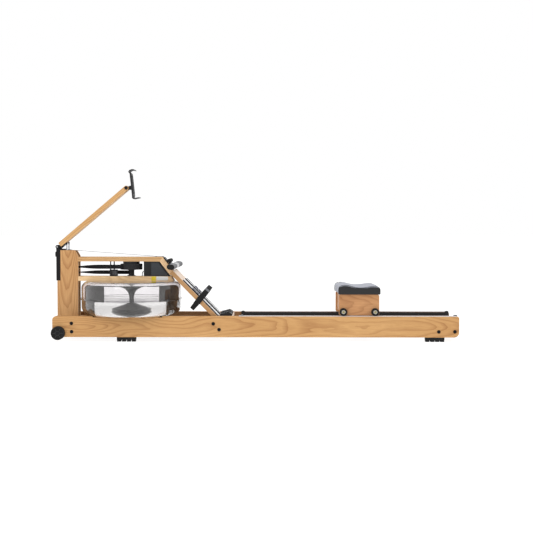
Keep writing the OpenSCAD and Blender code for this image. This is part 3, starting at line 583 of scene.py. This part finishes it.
REEL_PULLEY = (-965, 326)
BUNGEE_X = REEL_PULLEY[0] - 24 - 0.3 - 1      # the pulley's radius, a gap and half a strap away
bungee_path = [(BUNGEE_X, 0, z) for z in range(180, 106, -8)]
bungee_path += arc((BUNGEE_X + 30, 106), 30, 180, 270, 10)
bungee_path += [(x, 0, 76) for x in range(-900, -223, 52)]
cord_black = braid("bungee_sleeve")
cord_piece("recoil_bungee", bungee_path, 8, cord_black, "bungee_cord")

lead_jacket = moulded("lead_jacket", rgb(26, 26, 28), rgb(36, 36, 38), rough=0.55, grain=900)
LEAD_X = -597
lead_path = [(LEAD_X, 0, z) for z in (306, 314, 322, 330, 338)]
lead_path += [(LEAD_X + 10 - 10 * math.cos(math.radians(a)), 0, 345 + 10 * math.sin(math.radians(a)))
              for a in range(0, 91, 9)]
lead_path += [(-585, 0, 355)]
grommet = Shape().lathe([(5.0, 0), (5.0, 1.5), (3.8, 3.5), (3.0, 9), (2.3, 16), (2.1, 16)],
                        Matrix.Translation((LEAD_X, 0, 306.3)), 24)
grommet = grommet.done("lead_grommet", lead_jacket, "cord_black", "frame")
cord_piece("sensor_lead_cord", lead_path, 4.4, lead_jacket, "sensor_lead")

# ---------------------------------------------------------------- straps

PULL_PULLEY = (-981, 424.5)
STRAP_W, REEL_STRAP_W, STRAP_T = 22, 20, 2


def turning_path(a, b, steps=40, twist_end=0.62):
    """A straight run that lies flat at a and has turned by a quarter before b."""
    a, b = Vector(a), Vector(b)
    along = (b - a).normalized()
    side = Vector((-along.y, along.x, 0))
    path, wide = [], []
    for i in range(steps + 1):
        t = i / steps
        u = min(1, t / twist_end)
        turn = math.radians(90 * u * u * (3 - 2 * u))
        path.append(a + (b - a) * t)
        wide.append(side * math.cos(turn) + Vector((0, 0, 1)) * math.sin(turn))
    return path, wide


def strap(name, path, wide, width, material, slot, body=None, replaces=()):
    rings = ribbon_rings(path, wide, width, STRAP_T)
    shape = Shape().skin(rings, lengths=lengths_of(path))
    return shape.done(name, material, slot, body, 50, replaces)


ACROSS = (0, 1, 0)
# drive strap: round the front pulley, then turning on its way to the drum
loop = arc(PULL_PULLEY, 44.9, 90, 270, 36)
run, run_wide = turning_path((PULL_PULLEY[0], 0, PULL_PULLEY[1] - 44.9), (-659, -39.6, 381.5))
strap("drive_strap_web", loop + run[1:], [ACROSS] * len(loop) + [-w for w in run_wide[1:]], STRAP_W,
      black_web, "webbing", "frame", ("drive_strap",))
# recoil strap: up from the bungee, round the small pulley, and turning to the reel
rise = [(BUNGEE_X, 0, z) for z in (180, 210, 250, 290, 326)]
bend = arc(REEL_PULLEY, 25.3, 180, 90, 14)
run, run_wide = turning_path((REEL_PULLEY[0], 0, REEL_PULLEY[1] + 25.3), (-655, 16.6, 350))
strap("recoil_strap_web", rise + bend[1:] + run[1:],
      [ACROSS] * (len(rise) + len(bend) - 1) + run_wide[1:], REEL_STRAP_W, black_web, "webbing",
      "frame", ("recoil_strap",))

# pull strap: from the front pulley over the guide bars to the handle
PULL_ROUTE = [(-981, 469.4), (-524, 436.2), (-485.5, 436.2), (-440.6, 398.5)]


def finely(points, counts):
    path = [points[0]]
    for (x0, z0), (x1, z1), n in zip(points, points[1:], counts):
        path += [(x0 + (x1 - x0) * i / n, z0 + (z1 - z0) * i / n) for i in range(1, n + 1)]
    return [(x, 0, z) for x, z in path]


pull_path = finely(PULL_ROUTE, (24, 6, 60))
pull = strap("pull_strap_web", pull_path, [ACROSS] * len(pull_path), STRAP_W, pale_web, "pale_webbing",
             replaces=("pull_strap",))
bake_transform(pull)

# foot straps: an arch over each foot, tilted up the board, whose outer end hangs past its edge
ARCH = (62, 13, 52.5, 55.5)              # centre across and up, and half-sizes, at mid-thickness
BAND_T = 3
ON_STRAP = ON_FOOT @ Matrix.Translation((-129.5, 0, 0)) @ Matrix.Rotation(math.radians(-6.5), 4, "Y")


def arch_point(side, degrees, grow=0.0):
    a = math.radians(degrees)
    return (0, side * (ARCH[0] + (ARCH[2] + grow) * math.cos(a)),
            ARCH[1] + (ARCH[3] + grow) * math.sin(a))


def foot_strap(side):
    """The webbing is widest where it leaves the board, and narrows to the top and to its tail."""
    path = [(0, side * 114.5, z) for z in (-70, -66, -58, -46, -34, -22, -10, 2)]
    widths = [20, 24, 25, 26.5, 28.5, 30, 30, 30]
    for a in range(0, 181, 5):
        path.append(arch_point(side, a))
        widths.append(25 + 5 * abs(math.cos(math.radians(a))) ** 3)
    path += [(0, side * 9.5, 11.6)]
    widths += [30]
    rings = ribbon_rings(path, [(1, 0, 0)] * len(path), widths, BAND_T)
    shape = Shape().skin(rings, ON_STRAP, lengths=lengths_of(path))
    return shape.done("left_foot_strap" if side == LEFT else "right_foot_strap", black_web,
                      "webbing", "frame", 50)


def hook_patch(side):
    """Grey hook-and-loop patch near the top of the arch, on its outer side."""
    path = [arch_point(side, a, 2.1) for a in range(42, 60, 3)]
    rings = ribbon_rings(path, [(1, 0, 0)] * len(path), 24, 1.2)
    return Shape().skin(rings, ON_STRAP, lengths=lengths_of(path))


hook = moulded("hook_tape", rgb(98, 100, 104), rgb(124, 126, 130), rough=0.9, grain=700, relief=0.8,
               specular=0.15)
for side, name in ((LEFT, "left"), (RIGHT, "right")):
    piece = foot_strap(side)
    if side == LEFT:
        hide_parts("foot_straps")
    hook_patch(side).done(name + "_strap_patch", hook, "webbing", "frame")

# ---------------------------------------------------------------- seat pad

PAD_LOW, PAD_HIGH = (Vector(c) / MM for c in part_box("seat_pad"))
PAD_LIMIT = 5.0                          # how far the cloth may swell, in mm
PAD_SINK = 0.8                           # how far a side or the top may sink
PAD_GAP = 0.2                            # between the cushion and the box under it
PANEL_FROM = 143.6                       # |y| at which the dark side panels begin
SEAM_Y = 144                             # and |y| of the piping


def pad_top(u):
    """Height of the cushion's top above its base, u from 0 at the front to 1 at the rear."""
    def hump(at):
        return math.exp(-(((u - at) / 0.19) ** 2))
    return 35 + 13 * hump(0.16) + 7 * hump(0.84)


def pad_blank():
    """The cushion before it swells: slices along Y, a few millimetres smaller at its rims."""
    corner, base = 4, PAD_LOW.z + PAD_GAP
    half = PAD_HIGH.y - 2.0
    rings = []
    n = 26
    for y in [half * math.sin(math.pi / 2 * t / 30) for t in range(-30, 31)]:
        beyond = max(0.0, abs(y) - (half - corner))
        squeeze = corner - math.sqrt(max(0.0, corner ** 2 - beyond ** 2))
        edge = max(0.0, abs(y) - (half - 7)) / 7
        low_x, high_x = PAD_LOW.x + squeeze * 0.8, PAD_HIGH.x - squeeze * 0.8
        ring = [(low_x, y, base), (low_x, y, base + 14)]
        for i in range(n + 1):
            u = i / n
            top = pad_top(u) - 1.5 - 2 * edge ** 2 - 2.5 * abs(2 * u - 1) ** 20
            ring.append((low_x + (high_x - low_x) * u, y, base + top))
        ring += [(high_x, y, base + 14), (high_x, y, base)]
        ring += [(high_x + (low_x - high_x) * i / 8, y, base) for i in range(1, 8)]
        rings.append(ring)
    shape = Shape().skin(rings)
    mesh = bpy.data.meshes.new("seat_cushion")
    mesh.from_pydata([p * MM for p in shape.points], [], shape.faces)
    return mesh


def coordinates(mesh):
    co = np.empty(len(mesh.vertices) * 3)
    mesh.vertices.foreach_get("co", co)
    return co.reshape(-1, 3)


def apply_modifiers(piece):
    """Bakes what the modifiers make into the piece's own mesh."""
    graph = bpy.context.evaluated_depsgraph_get()
    made = bpy.data.meshes.new_from_object(piece.evaluated_get(graph))
    piece.modifiers.clear()
    piece.data = made


def swell(piece):
    """Voxel remesh, then a pressure cloth; no point moves further than PAD_LIMIT."""
    remesh = piece.modifiers.new("Remesh", "REMESH")
    remesh.mode = "VOXEL"
    remesh.voxel_size = 0.004
    apply_modifiers(piece)
    rest = coordinates(piece.data)
    cloth = piece.modifiers.new("Cloth", "CLOTH")
    cloth.settings.quality = 5
    cloth.settings.mass = 0.3
    cloth.settings.tension_stiffness = cloth.settings.compression_stiffness = 30
    cloth.settings.bending_stiffness = 12
    cloth.settings.use_pressure = True
    cloth.settings.uniform_pressure_force = 4
    cloth.settings.effector_weights.gravity = 0
    for number in range(1, 21):
        scene.frame_set(number)
    apply_modifiers(piece)
    scene.frame_set(1)
    moved = coordinates(piece.data)
    step = moved - rest
    far = np.linalg.norm(step, axis=1, keepdims=True)
    moved = rest + step * np.minimum(1, PAD_LIMIT * MM / np.maximum(far, 1e-9))
    sink = PAD_SINK * MM
    moved[:, 1] = np.sign(rest[:, 1]) * np.maximum(np.abs(moved[:, 1]), np.abs(rest[:, 1]) - sink)
    moved[:, 2] = np.maximum(moved[:, 2], np.maximum(rest[:, 2] - sink, (PAD_LOW.z + PAD_GAP) * MM))
    piece.data.vertices.foreach_set("co", moved.ravel())
    smooth = piece.modifiers.new("Smooth", "SMOOTH")
    smooth.iterations = 11
    rounder = piece.modifiers.new("Subdivision", "SUBSURF")
    rounder.levels = rounder.render_levels = 1
    apply_modifiers(piece)


def vinyl():
    """Pebbled vinyl: light bluish grey on top and at the ends, near-black on the two sides."""
    g = Graph("pad_vinyl", specular=0.4)
    dark = g.math("GREATER_THAN", g.math("ABSOLUTE", g.split(g.place())[1]), PANEL_FROM * MM)
    cells = g.add("TexVoronoi", {"Vector": g.place((850, 850, 850)), "Scale": 1.0})
    slow = g.noise(g.place((12, 12, 12)), detail=3)
    top = g.mix(slow, rgb(136, 139, 151), rgb(156, 159, 170))
    below = g.mix(slow, rgb(17, 17, 18), rgb(27, 27, 28))
    colour = g.mix(dark, top, below)
    colour = g.mix(g.math("MULTIPLY", cells.outputs["Distance"], 0.18), colour, rgb(20, 20, 24))
    rough = g.math("MULTIPLY_ADD", slow, 0.2, 0.34)
    height = g.math("ADD", cells.outputs["Distance"], g.math("MULTIPLY", slow, 0.6))
    return g.finish(colour, rough, height, 0.25, 0.0004)


cushion = bpy.data.objects.new("seat_cushion", pad_blank())
scene.collection.objects.link(cushion)
swell(cushion)
pad_vinyl = vinyl()
cushion.data.materials.append(pad_vinyl)
cushion.data.shade_smooth()
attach(cushion, "seat")
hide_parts("seat_pad")


def contour(level_y):
    """The cushion's outline where its side panel meets the top, front and rear, at |y| = level_y."""
    co = coordinates(cushion.data) / MM
    near = co[np.abs(co[:, 1] - level_y) < 2.5]
    centre = np.array([(PAD_LOW.x + PAD_HIGH.x) / 2, PAD_LOW.z + 18])
    offset = near[:, [0, 2]] - centre
    angle = np.degrees(np.arctan2(offset[:, 1], offset[:, 0]))
    path = []
    for a in range(-8, 189, 4):
        gap = np.abs((angle - a + 180) % 360 - 180)
        pick = gap < 4
        if pick.any():
            r = np.linalg.norm(offset[pick], axis=1).max() + 0.1
            path.append(Vector((centre[0] + r * math.cos(math.radians(a)), level_y,
                                centre[1] + r * math.sin(math.radians(a)))))
    for _ in range(2):
        path = [path[0]] + [(path[i - 1] + 2 * path[i] + path[i + 1]) / 4
                            for i in range(1, len(path) - 1)] + [path[-1]]
    return path


def tube_rings(path, radius, n=8):
    rings = []
    for i, p in enumerate(path):
        along = (Vector(path[min(i + 1, len(path) - 1)]) - Vector(path[max(i - 1, 0)])).normalized()
        side = along.cross(Vector((0, 1, 0)) if abs(along.y) < 0.9 else Vector((1, 0, 0))).normalized()
        up = along.cross(side)
        rings.append([Vector(p) + (side * math.cos(a) + up * math.sin(a)) * radius
                      for a in (2 * math.pi * k / n for k in range(n))])
    return rings


piping = Shape()
for side in (LEFT, RIGHT):
    piping.skin(tube_rings(contour(side * SEAM_Y), 1.3))
piping.done("cushion_piping", moulded("piping", rgb(44, 45, 48), rgb(60, 61, 66), rough=0.5),
            "pad_vinyl", "seat")

# ---------------------------------------------------------------- handle

HANDLE, GRIP_TILT, GRIP_START, GRIP_END = (-423, 388), 10, 70.4, 250
GRIP_WIDTH, GRIP_DEPTH = 38, 27
CAP_LENGTH = 14


def oval(a, b, n=32):
    """Section of the grip in the XZ plane, nearly level."""
    turn = math.radians(-GRIP_TILT)
    r = b / 2 - 0.5
    ring = []
    for k in range(n):
        t = 2 * math.pi * k / n
        x, z = r * math.cos(t), r * math.sin(t)
        x += (a / 2 - r) * (1 if math.cos(t) > 1e-6 else -1 if math.cos(t) < -1e-6 else 0)
        z += (b / 2 - r) * (1 if math.sin(t) > 1e-6 else -1 if math.sin(t) < -1e-6 else 0)
        ring.append((HANDLE[0] + x * math.cos(turn) - z * math.sin(turn),
                     HANDLE[1] + x * math.sin(turn) + z * math.cos(turn)))
    return ring


def along_grip(side, profile):
    """Skins the grip's section along Y: the profile lists (distance from the middle, size)."""
    return Shape().skin([[(x, side * y, z) for x, z in
                          oval(GRIP_WIDTH * scale + (1 - scale) * 6, GRIP_DEPTH * scale)]
                         for y, scale in profile])


def sleeve_profile(pitch=5.0):
    """Foam sleeve with shallow ribs, from the bare middle of the bar to the end cap."""
    profile = [(GRIP_START, 0.90), (GRIP_START + 0.8, 0.97)]
    for i in range(int((GRIP_END - CAP_LENGTH - GRIP_START - 4) / (pitch / 4))):
        profile.append((GRIP_START + 2 + i * pitch / 4, 1.0 if i % 4 in (1, 2) else 0.965))
    return profile + [(GRIP_END - CAP_LENGTH - 0.4, 0.985), (GRIP_END - CAP_LENGTH, 0.95)]


CAP_PROFILE = [(GRIP_END - CAP_LENGTH, 0.93), (GRIP_END - 13.6, 0.98), (GRIP_END - 13.0, 1.0),
               (GRIP_END - 4, 1.0), (GRIP_END - 1.6, 0.95), (GRIP_END - 0.4, 0.84), (GRIP_END, 0.7)]

for side, name in ((LEFT, "left"), (RIGHT, "right")):
    piece = along_grip(side, sleeve_profile()).done(
        name + "_grip_sleeve", foam, "grip_foam", "handle", 60,
        ("handle_grips",) if side == LEFT else ())
    along_grip(side, CAP_PROFILE).done(name + "_grip_cap", rubber, "grip_foam", "handle", 40)

# ---------------------------------------------------------------- tank


def arc_profile(cx, cz, r, start, end, steps=8):
    return [(cx + r * math.cos(math.radians(start + (end - start) * i / steps)),
             cz + r * math.sin(math.radians(start + (end - start) * i / steps)))
            for i in range(steps + 1)]


WATER_LEVEL, WATER_R = 208, 256.4
body_of_water = ([(0.05, 129.6), (WATER_R - 45.4, 129.6)]
                 + arc_profile(WATER_R - 45.4, 175.0, 45.4, -90, 0, 10)[1:]
                 + [(WATER_R, 206.5), (WATER_R - 1.2, WATER_LEVEL), (WATER_R - 6, WATER_LEVEL - 0.4),
                    (120, WATER_LEVEL - 0.5), (0.05, WATER_LEVEL - 0.5)])
Shape().lathe(body_of_water, TANK_AXIS, 128).done("tank_water", water, "clear_shell", "frame", 30)

# ---------------------------------------------------------------- small fittings

# hexagon sockets in the round bolt heads
socket_steel = moulded("bolt_socket", rgb(12, 12, 13), rgb(22, 22, 24), rough=0.4)
FRAME_BOLTS = [(-943, 94), (-942, 51), (950, 52.5), (1033, 53)]
FRAME_BOLTS += [((ON_FOOT @ Vector((x, 0, z))).x, (ON_FOOT @ Vector((x, 0, z))).z)
                for x, z in ((9.6, -39), (52, -39))]


def hex_socket(shape, place, height, r=3.6):
    """A six-sided recess whose rim stands at that height; r is its radius."""
    shape.lathe([(r + 1.5, height), (r + 1.2, height + 0.25), (r, height + 0.25),
                 (r - 0.5, height - 0.4), (0.05, height - 0.5)], place, 6)


sockets = Shape()
for side in (LEFT, RIGHT):
    for x, z in FRAME_BOLTS:
        hex_socket(sockets, at_side(x, z, side), 158.4)
sockets.done("frame_bolt_sockets", socket_steel, "black_metal", "frame")
sockets = Shape()
for side in (LEFT, RIGHT):
    hex_socket(sockets, at_side(HOLDER_BOLT.x, HOLDER_BOLT.z, side), 35.0, 4.0)
sockets.done("holder_bolt_sockets", socket_steel, "black_metal", "arm")

# seat wheel hubs
SEAT_X, HALF_WHEEL_BASE, SEAT_AXLE_Z = 541.5, 82, 153.0
HUB = [(5.9, 146.4), (9.2, 146.4), (9.7, 148.6), (9.3, 149.8), (8.4, 150.1), (7.6, 149.4), (6.8, 149.4),
       (6.3, 149.8), (5.9, 149.6)]
for place_name, x in (("front", SEAT_X - HALF_WHEEL_BASE), ("rear", SEAT_X + HALF_WHEEL_BASE)):
    for side, side_name in ((LEFT, "left"), (RIGHT, "right")):
        body = "seat_wheel_" + place_name[0] + side_name[0]
        axle = at_side(x, SEAT_AXLE_Z, side)
        hub = Shape().lathe(HUB, axle, 40, loop=True)
        for k in range(5):
            turn = Matrix.Rotation(2 * math.pi * k / 5, 4, "Z")
            hub.block((9.0, -0.9, 146.4), (11.2, 0.9, 147.6), 0.4, axle @ turn)
        hub.done(place_name + "_" + side_name + "_wheel_hub", cream, "brass", body)

# transport wheel hub caps
TRANSPORT_AXLE = (-1010, 45)
cap_grey = moulded("wheel_cap", rgb(46, 46, 48), rgb(60, 60, 62), rough=0.5)
for side, side_name in ((LEFT, "left"), (RIGHT, "right")):
    axle = at_side(*TRANSPORT_AXLE, side)
    cap = Shape().lathe([(10.3, 179.2), (12.6, 179.2), (12.6, 180.6), (11.4, 181.6), (10.3, 181.6)],
                        axle, 40, loop=True)
    for k in range(6):
        turn = Matrix.Rotation(2 * math.pi * k / 6, 4, "Z")
        cap.block((13.2, -1.4, 175.6), (27.6, 1.4, 178.2), 1.0, axle @ turn)
    cap.done(side_name + "_wheel_cap", cap_grey, "black_rubber", side_name + "_wheel")

# plain stickers on the middle rail
sticker_white = moulded("white_sticker", rgb(244, 244, 241), rgb(250, 250, 248), rough=0.35,
                        relief=0.05)
sticker_yellow = moulded("yellow_sticker", rgb(236, 206, 44), rgb(246, 220, 62), rough=0.35,
                         relief=0.05)
NEAR_FACE = Matrix.Rotation(math.radians(90), 4, "X")      # local (x, y, z) to world (x, -z, y)
for name, material, x0, x1, z0 in (("yellow_sticker", sticker_yellow, -544, -521, 307.2),
                                   ("white_sticker", sticker_white, -518, -457, 309.5)):
    sticker = Shape().block((x0, z0, 35.02), (x1, 330, 35.3), 1.5, NEAR_FACE)
    sticker.done(name, material, "silver_plate", "frame")

# display and keys of the console
screen_glass = moulded("display_glass", rgb(34, 44, 42), rgb(46, 58, 54), rough=0.12, specular=0.6,
                       relief=0.02)
keypad = moulded("keypad", rgb(120, 122, 126), rgb(138, 140, 144), rough=0.55)
console_keys = Shape()
for x, y in ((12, -30), (12, -20), (23, -30), (23, -20), (34, -30), (34, -20), (34, 20), (34, 30)):
    console_keys.lathe([(2.6, 6.0), (2.6, 6.5), (1.8, 6.9), (0.05, 7.0)],
                       ON_SLOPE @ Matrix.Translation((x, y, 0)), 20)
console_keys.done("console_keys", keypad, "black_plastic", "frame")
Shape().block((9, 15, 5.9), (29, 34, 6.5), 1.5, ON_SLOPE).done("console_screen", screen_glass,
                                                                "black_plastic", "frame")

# grey insert of the strap guide
Shape().block((-750, 338, 35.0), (-727, 357, 35.8), 1.5, NEAR_FACE).done(
    "guide_insert", moulded("guide_insert", rgb(62, 62, 64), rgb(76, 76, 78), rough=0.5),
    "black_plastic", "frame")

# screws of the track stops
stop_screws = Shape()
for side in (LEFT, RIGHT):
    for x in (-65, 1041):
        stop_screws.lathe([(3.4, 0), (3.4, 0.8), (2.4, 1.6), (1.2, 1.7), (1.0, 1.0), (0.05, 1.0)],
                          Matrix.Translation((x, side * 123.4, 136.4)), 20)
stop_screws.done("track_stop_screws", steel, "steel", "frame")

# toothed strips along the foot plates, and the screws that hold them
rack = Shape()
plate_screws = Shape()
for side in (LEFT, RIGHT):
    for k in range(34):
        rack.block((-256 + k * 7, side * 101 - 1.2, 5.9), (-252.6 + k * 7, side * 101 + 1.2, 7.3),
                   0.6, ON_FOOT)
    for x in (-248, -60, -14):
        plate_screws.lathe([(3.6, 5.0), (3.6, 5.7), (2.6, 6.5), (1.3, 6.6), (1.0, 5.9), (0.05, 5.9)],
                           ON_FOOT @ Matrix.Translation((x, side * 55, 0)), 20)
rack.done("foot_plate_racks", black, "black_plastic", "frame")
plate_screws.done("foot_plate_screws", steel, "steel", "frame")

# soft pads on the tablet holder's face
holder_pads = Shape()
PLATE_FACE = (ON_PLATE @ Matrix.Rotation(math.radians(90), 4, "Y")
              @ Matrix.Scale(-1, 4, (1, 0, 0)))
for y in (-22, 22):
    holder_pads.block((-34, y - 7, 34.0), (62, y + 7, 35.2), 3, PLATE_FACE)
holder_pads.done("holder_face_pads", rubber, "black_rubber", "holder")

# ---------------------------------------------------------------- floor and light

floor_mesh = bpy.data.meshes.new("studio_floor")
floor_mesh.from_pydata([(x, y, -0.0005) for x, y in ((-40, -40), (40, -40), (40, 60), (-40, 60))],
                       [], [(0, 1, 2, 3)])
floor = bpy.data.objects.new("studio_floor", floor_mesh)
scene.collection.objects.link(floor)
floor_graph = Graph("studio_floor", rough=0.9, specular=0.1)
floor_mesh.materials.append(floor_graph.finish(
    floor_graph.ramp(floor_graph.noise(floor_graph.place((0.6, 0.6, 0.6))), (0.3, rgb(124, 124, 124)),
                     (0.7, rgb(127, 127, 127)))))
floor_graph.set(**{"Emission Color": (1, 1, 1, 1), "Emission Strength": 0.9})

world = bpy.data.worlds.new("studio")
world.use_nodes = True
world.node_tree.nodes["Background"].inputs["Color"].default_value = (1, 1, 1, 1)
world.node_tree.nodes["Background"].inputs["Strength"].default_value = 1.0
scene.world = world


def soft_light(name, size, power, location, target):
    data = bpy.data.lights.new(name, "AREA")
    data.shape = "RECTANGLE"
    data.size, data.size_y = size
    data.energy = power
    light = bpy.data.objects.new(name, data)
    light.location = location
    light.rotation_euler = (Vector(target) - Vector(location)).to_track_quat("-Z", "Y").to_euler()
    scene.collection.objects.link(light)


soft_light("top_light", (4.5, 3.0), 55, (0, -0.6, 3.6), (0, 0, 0.2))
soft_light("front_light", (3.5, 2.0), 20, (-1.5, -4.2, 2.4), (0, 0, 0.25))
